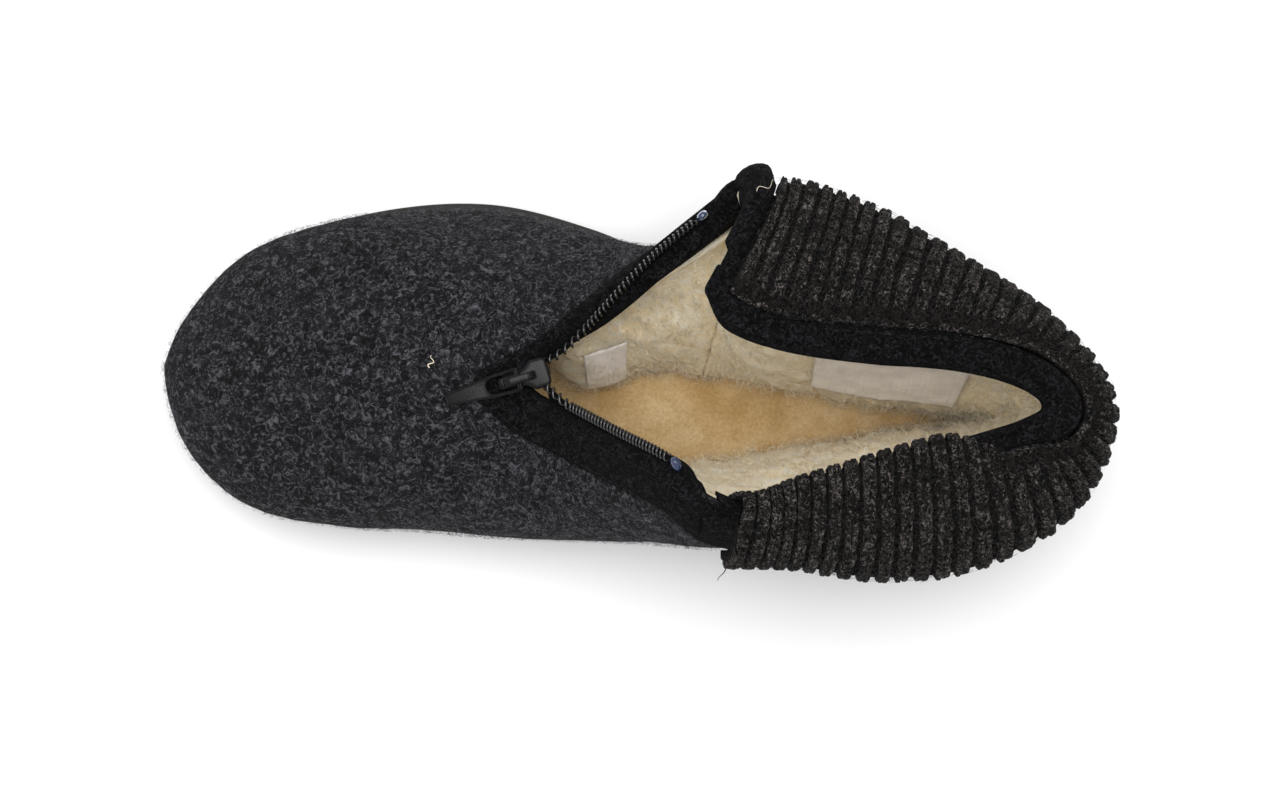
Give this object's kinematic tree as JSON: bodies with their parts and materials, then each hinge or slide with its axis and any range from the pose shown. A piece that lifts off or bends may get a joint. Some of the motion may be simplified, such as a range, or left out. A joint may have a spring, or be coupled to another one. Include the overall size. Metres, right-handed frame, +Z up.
{
  "type": "house_slipper",
  "caption": "Ankle-high grey felt house slipper with a lambswool lining, an open front zip and a black ribbed knitted cuff turned down over its shaft",
  "frame": {"origin": "On the floor, at the middle of the heel's flat spot", "axes": "+X from toe to heel, +Y to the outer (lateral) side of the right foot, +Z up"},
  "size_m": [0.281, 0.1202, 0.1155],
  "materials": {
    "vamp felt": "mottled charcoal wool felt with short loose hairs",
    "facing and binding felt": "black felt, matt",
    "cuff knit": "black rib knit with grey melange in its strands",
    "insole": "tan wool felt, slightly pressed",
    "sole": "matt dark moulded rubber",
    "zip coil": "black nylon coil, satin",
    "zip stop": "smoky clear plastic",
    "zip slider and pull": "black lacquer on die-cast zinc, glossy edges"
  },
  "bodies": {
    "root": {"outsole": "sole", "insole": "insole", "upper": "vamp felt", "throat_facing": "facing and binding felt", "collar_binding": "facing and binding felt", "flap_binding": "facing and binding felt", "knit_cuff": "cuff knit", "zip_chain_lateral": "zip coil", "zip_stop_lateral": "zip stop", "zip_chain_medial": "zip coil", "zip_stop_medial": "zip stop", "zip_slider": "zip slider and pull"},
    "pull": {"zip_pull": "zip slider and pull"}
  },
  "joints": [
    {"name": "pull_hinge", "type": "hinge", "parent": "root", "child": "pull", "pos_m": [-0.12985, 0.00295, 0.07028], "axis": [-0.28, 0.9599, 0.0141], "range_deg": [0, 150]}
  ]
}
